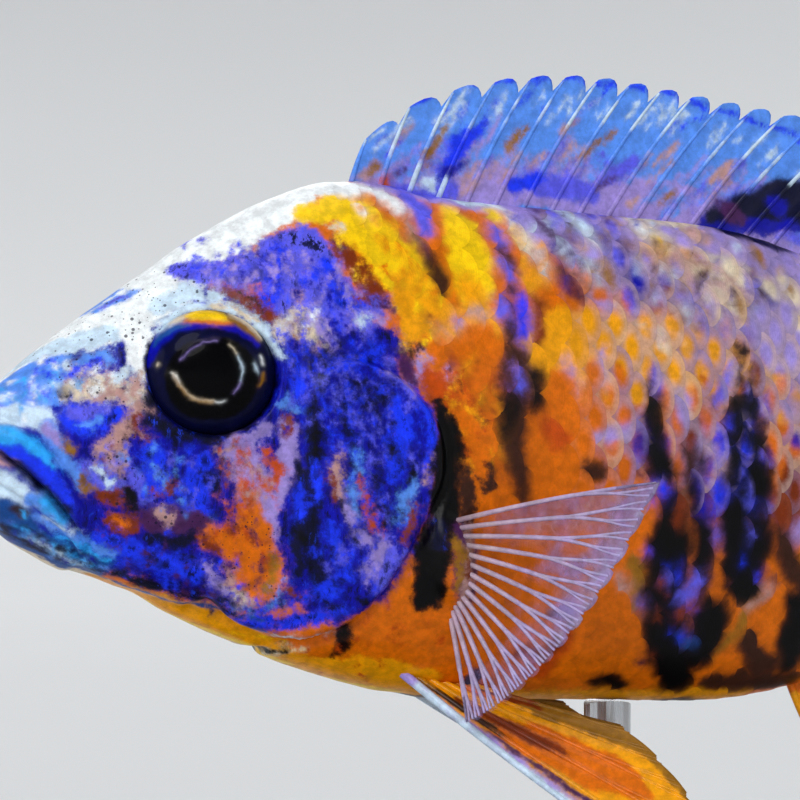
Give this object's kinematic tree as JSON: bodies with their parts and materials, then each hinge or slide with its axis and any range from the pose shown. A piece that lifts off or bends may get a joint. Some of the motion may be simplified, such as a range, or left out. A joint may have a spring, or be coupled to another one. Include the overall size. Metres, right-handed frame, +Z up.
{
  "type": "peacock cichlid display model",
  "caption": "Life-size still model of a male peacock cichlid in orange-blotch colouring, with ribbed fins, gill covers and lips, held by a rod on a flat base.",
  "frame": {"origin": "middle of the stand base's underside", "axes": "+X from the snout towards the tail fin, -Y out of the fish's left side, +Z up"},
  "size_m": [0.1438, 0.054, 0.0969],
  "materials": {
    "skin": "painted scales in orange, violet blue and black, wet gloss",
    "fin": "painted thin fin webs with raised rays, satin",
    "eye": "polished",
    "stand_base": "dark stained, satin",
    "stand_metal": "brushed"
  },
  "bodies": {
    "root": {"head": "skin", "lower_jaw": "skin", "upper_lip": "skin", "lower_lip": "skin", "gill_cover_left": "skin", "gill_cover_right": "skin", "trunk": "skin", "tail_stalk": "skin", "dorsal_fin": "fin", "anal_fin": "fin", "tail_fin": "fin", "pectoral_fin_left": "fin", "pectoral_fin_right": "fin", "pelvic_fin_left": "fin", "pelvic_fin_right": "fin", "eye_left": "eye", "eye_right": "eye", "stand_base": "stand_base", "stand_rod": "stand_metal", "stand_collar": "stand_metal"}
  },
  "joints": []
}
